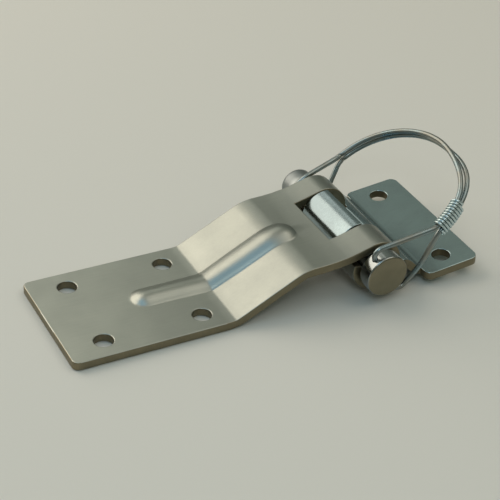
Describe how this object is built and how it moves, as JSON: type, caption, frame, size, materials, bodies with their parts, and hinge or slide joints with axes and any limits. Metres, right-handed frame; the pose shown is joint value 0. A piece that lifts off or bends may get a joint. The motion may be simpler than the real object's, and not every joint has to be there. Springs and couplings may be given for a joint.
{
  "type": "hasp and staple",
  "caption": "Cranked steel hasp leaf and small staple leaf, hinged on a removable headed pin that a sprung wire bail locks, zinc plated",
  "frame": {"origin": "middle of the hasp leaf's four holes, on the face that lies on the door", "axes": "+X along the hasp to the staple leaf, +Y along the pin from its head to its tail, +Z away from the door"},
  "size_m": [0.1943, 0.0836, 0.0501],
  "materials": {
    "hasp_plate": "satin zinc plate",
    "staple_plate": "satin zinc plate",
    "pin_steel": "bright zinc plate",
    "spring_wire": "drawn wire, satin",
    "binding_wire": "drawn wire, bright"
  },
  "bodies": {
    "hasp": {"hasp_leaf": "hasp_plate"},
    "staple": {"staple_leaf": "staple_plate"},
    "pin": {"locking_pin": "pin_steel"},
    "bail": {"wire_bail": "spring_wire", "bail_binding": "binding_wire"}
  },
  "joints": [
    {"name": "leaf_hinge", "type": "hinge", "parent": "hasp", "child": "staple", "pos_m": [0.1027, 0, 0.014], "axis": [0, -1, 0], "range_deg": [-6.3, 124]},
    {"name": "pin_slide", "type": "slide", "parent": "staple", "child": "pin", "axis": [0, -1, 0], "range_m": [0, 0.085]},
    {"name": "bail_swing", "type": "hinge", "parent": "pin", "child": "bail", "pos_m": [0.1027, -0.0353, 0.014], "axis": [0.5592, 0, -0.829], "range_deg": [0, 120], "deforming": ["wire_bail"]}
  ]
}
